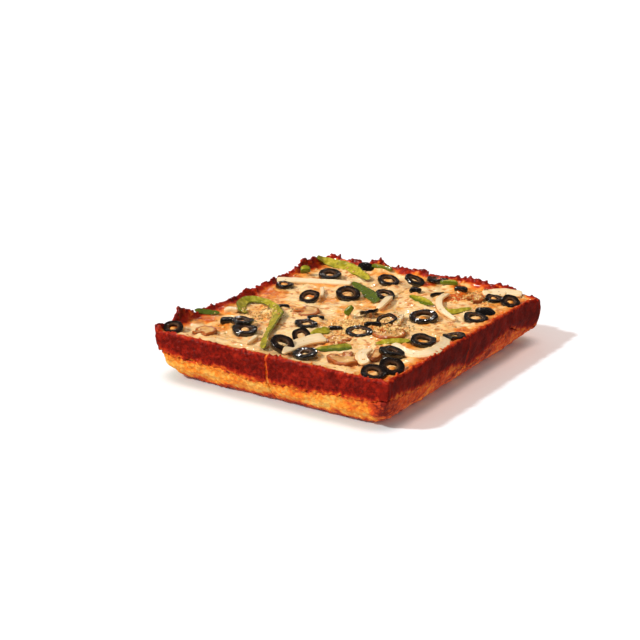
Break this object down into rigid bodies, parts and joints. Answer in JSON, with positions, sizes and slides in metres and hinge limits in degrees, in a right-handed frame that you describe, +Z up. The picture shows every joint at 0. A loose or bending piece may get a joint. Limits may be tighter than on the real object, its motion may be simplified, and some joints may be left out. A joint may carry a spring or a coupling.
{
  "type": "detroit-style pizza",
  "caption": "Small rectangular deep-pan pizza, cut into corner slices that lie together, with a dark cheese rim and olive, pepper, onion and mushroom on top.",
  "frame": {"origin": "on the flat underside, below the middle of the pizza", "axes": "+X across the short side, +Y along the long side, +Z up from the underside to the toppings"},
  "size_m": [0.1682, 0.2004, 0.04],
  "materials": {
    "dough": "golden baked crust, rough and grainy, browned along its foot",
    "cheese": "melted cheese, cream on top with toasted spots, dark red-brown and caramelised down the side",
    "olive": "shiny black skin with a duller dark cut face",
    "pepper": "glossy green skin with paler yellow-green flesh",
    "onion": "cream-white and slightly translucent, moist",
    "mushroom": "tan-brown baked flesh with a darker edge"
  },
  "bodies": {
    "root": {"cheese_back_left": "cheese", "cheese_back_right": "cheese", "cheese_front_left": "cheese", "cheese_front_right": "cheese", "dough_back_left": "dough", "dough_back_right": "dough", "dough_front_left": "dough", "dough_front_right": "dough", "mushroom_01": "mushroom", "mushroom_02": "mushroom", "mushroom_03": "mushroom", "mushroom_04": "mushroom", "mushroom_05": "mushroom", "mushroom_06": "mushroom", "olive_01": "olive", "olive_02": "olive", "olive_03": "olive", "olive_04": "olive", "olive_05": "olive", "olive_06": "olive", "olive_07": "olive", "olive_08": "olive", "olive_09": "olive", "olive_10": "olive", "olive_11": "olive", "olive_12": "olive", "olive_13": "olive", "olive_14": "olive", "olive_15": "olive", "olive_16": "olive", "olive_17": "olive", "olive_18": "olive", "olive_19": "olive", "olive_20": "olive", "olive_21": "olive", "olive_22": "olive", "olive_23": "olive", "olive_24": "olive", "olive_25": "olive", "olive_26": "olive", "olive_27": "olive", "olive_28": "olive", "olive_29": "olive", "onion_01": "onion", "onion_02": "onion", "onion_03": "onion", "onion_04": "onion", "onion_05": "onion", "onion_06": "onion", "onion_07": "onion", "onion_08": "onion", "pepper_01": "pepper", "pepper_02": "pepper", "pepper_03": "pepper", "pepper_04": "pepper", "pepper_05": "pepper", "pepper_06": "pepper", "pepper_07": "pepper", "pepper_08": "pepper", "pepper_09": "pepper"}
  },
  "joints": []
}
